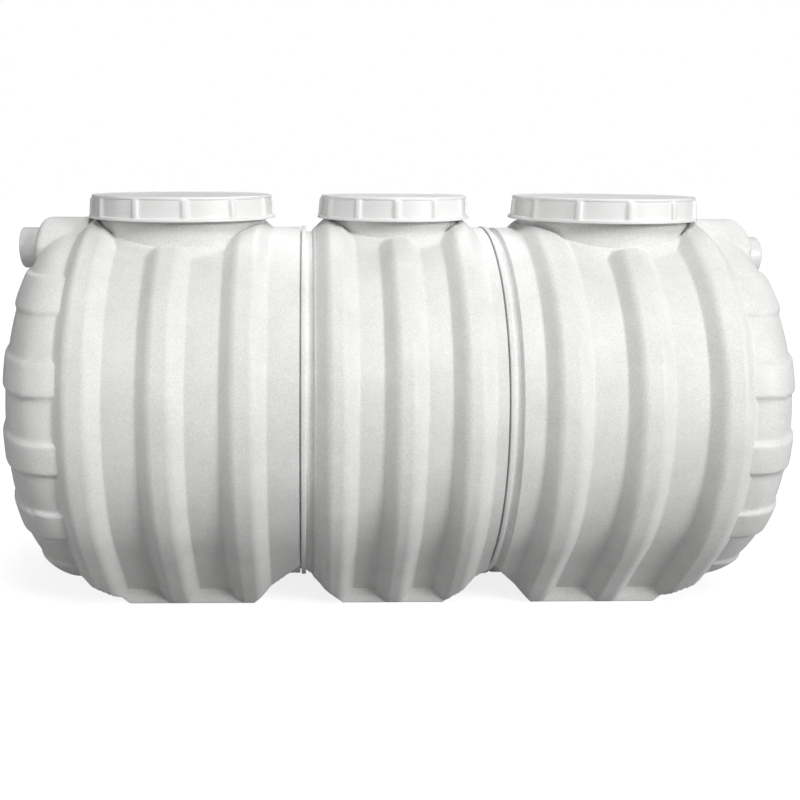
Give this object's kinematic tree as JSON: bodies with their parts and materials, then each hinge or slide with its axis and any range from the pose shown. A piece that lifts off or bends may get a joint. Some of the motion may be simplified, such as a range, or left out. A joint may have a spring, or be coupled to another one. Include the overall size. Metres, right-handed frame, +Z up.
{
  "type": "septic tank",
  "caption": "Horizontal ribbed plastic septic tank in sections, with screw-lid manholes, dished ends, flat feet and a pipe stub at each end.",
  "frame": {"origin": "on the ground under the middle of the tank, in the plane of the feet's flat underside", "axes": "+X along the tank from the inlet to the outlet, +Y towards the back, +Z up"},
  "size_m": [2.078, 1.036, 1.09],
  "materials": {
    "tank_wall": "satin moulded polyethylene",
    "joint_ring": "satin moulded polyethylene",
    "neck": "satin moulded polyethylene",
    "lid": "satin moulded polyethylene",
    "pipe": "satin moulded polyethylene",
    "seal": "soft black rubber"
  },
  "bodies": {
    "tank": {"inlet_end": "tank_wall", "inlet_barrel": "tank_wall", "middle_barrel": "tank_wall", "outlet_barrel": "tank_wall", "outlet_end": "tank_wall", "inlet_joint_ring": "joint_ring", "outlet_joint_ring": "joint_ring", "inlet_neck": "neck", "middle_neck": "neck", "outlet_neck": "neck", "inlet_pipe": "pipe", "outlet_pipe": "pipe", "inlet_pipe_seal": "seal", "outlet_pipe_seal": "seal"},
    "inlet_cover": {"inlet_lid": "lid", "inlet_lid_seal": "seal"},
    "middle_cover": {"middle_lid": "lid", "middle_lid_seal": "seal"},
    "outlet_cover": {"outlet_lid": "lid", "outlet_lid_seal": "seal"}
  },
  "joints": [
    {"name": "inlet_lid_lift", "type": "slide", "parent": "tank", "child": "inlet_cover", "axis": [0, 0, 1], "range_m": [0, 0.15]},
    {"name": "middle_lid_lift", "type": "slide", "parent": "tank", "child": "middle_cover", "axis": [0, 0, 1], "range_m": [0, 0.15]},
    {"name": "outlet_lid_lift", "type": "slide", "parent": "tank", "child": "outlet_cover", "axis": [0, 0, 1], "range_m": [0, 0.15]}
  ]
}
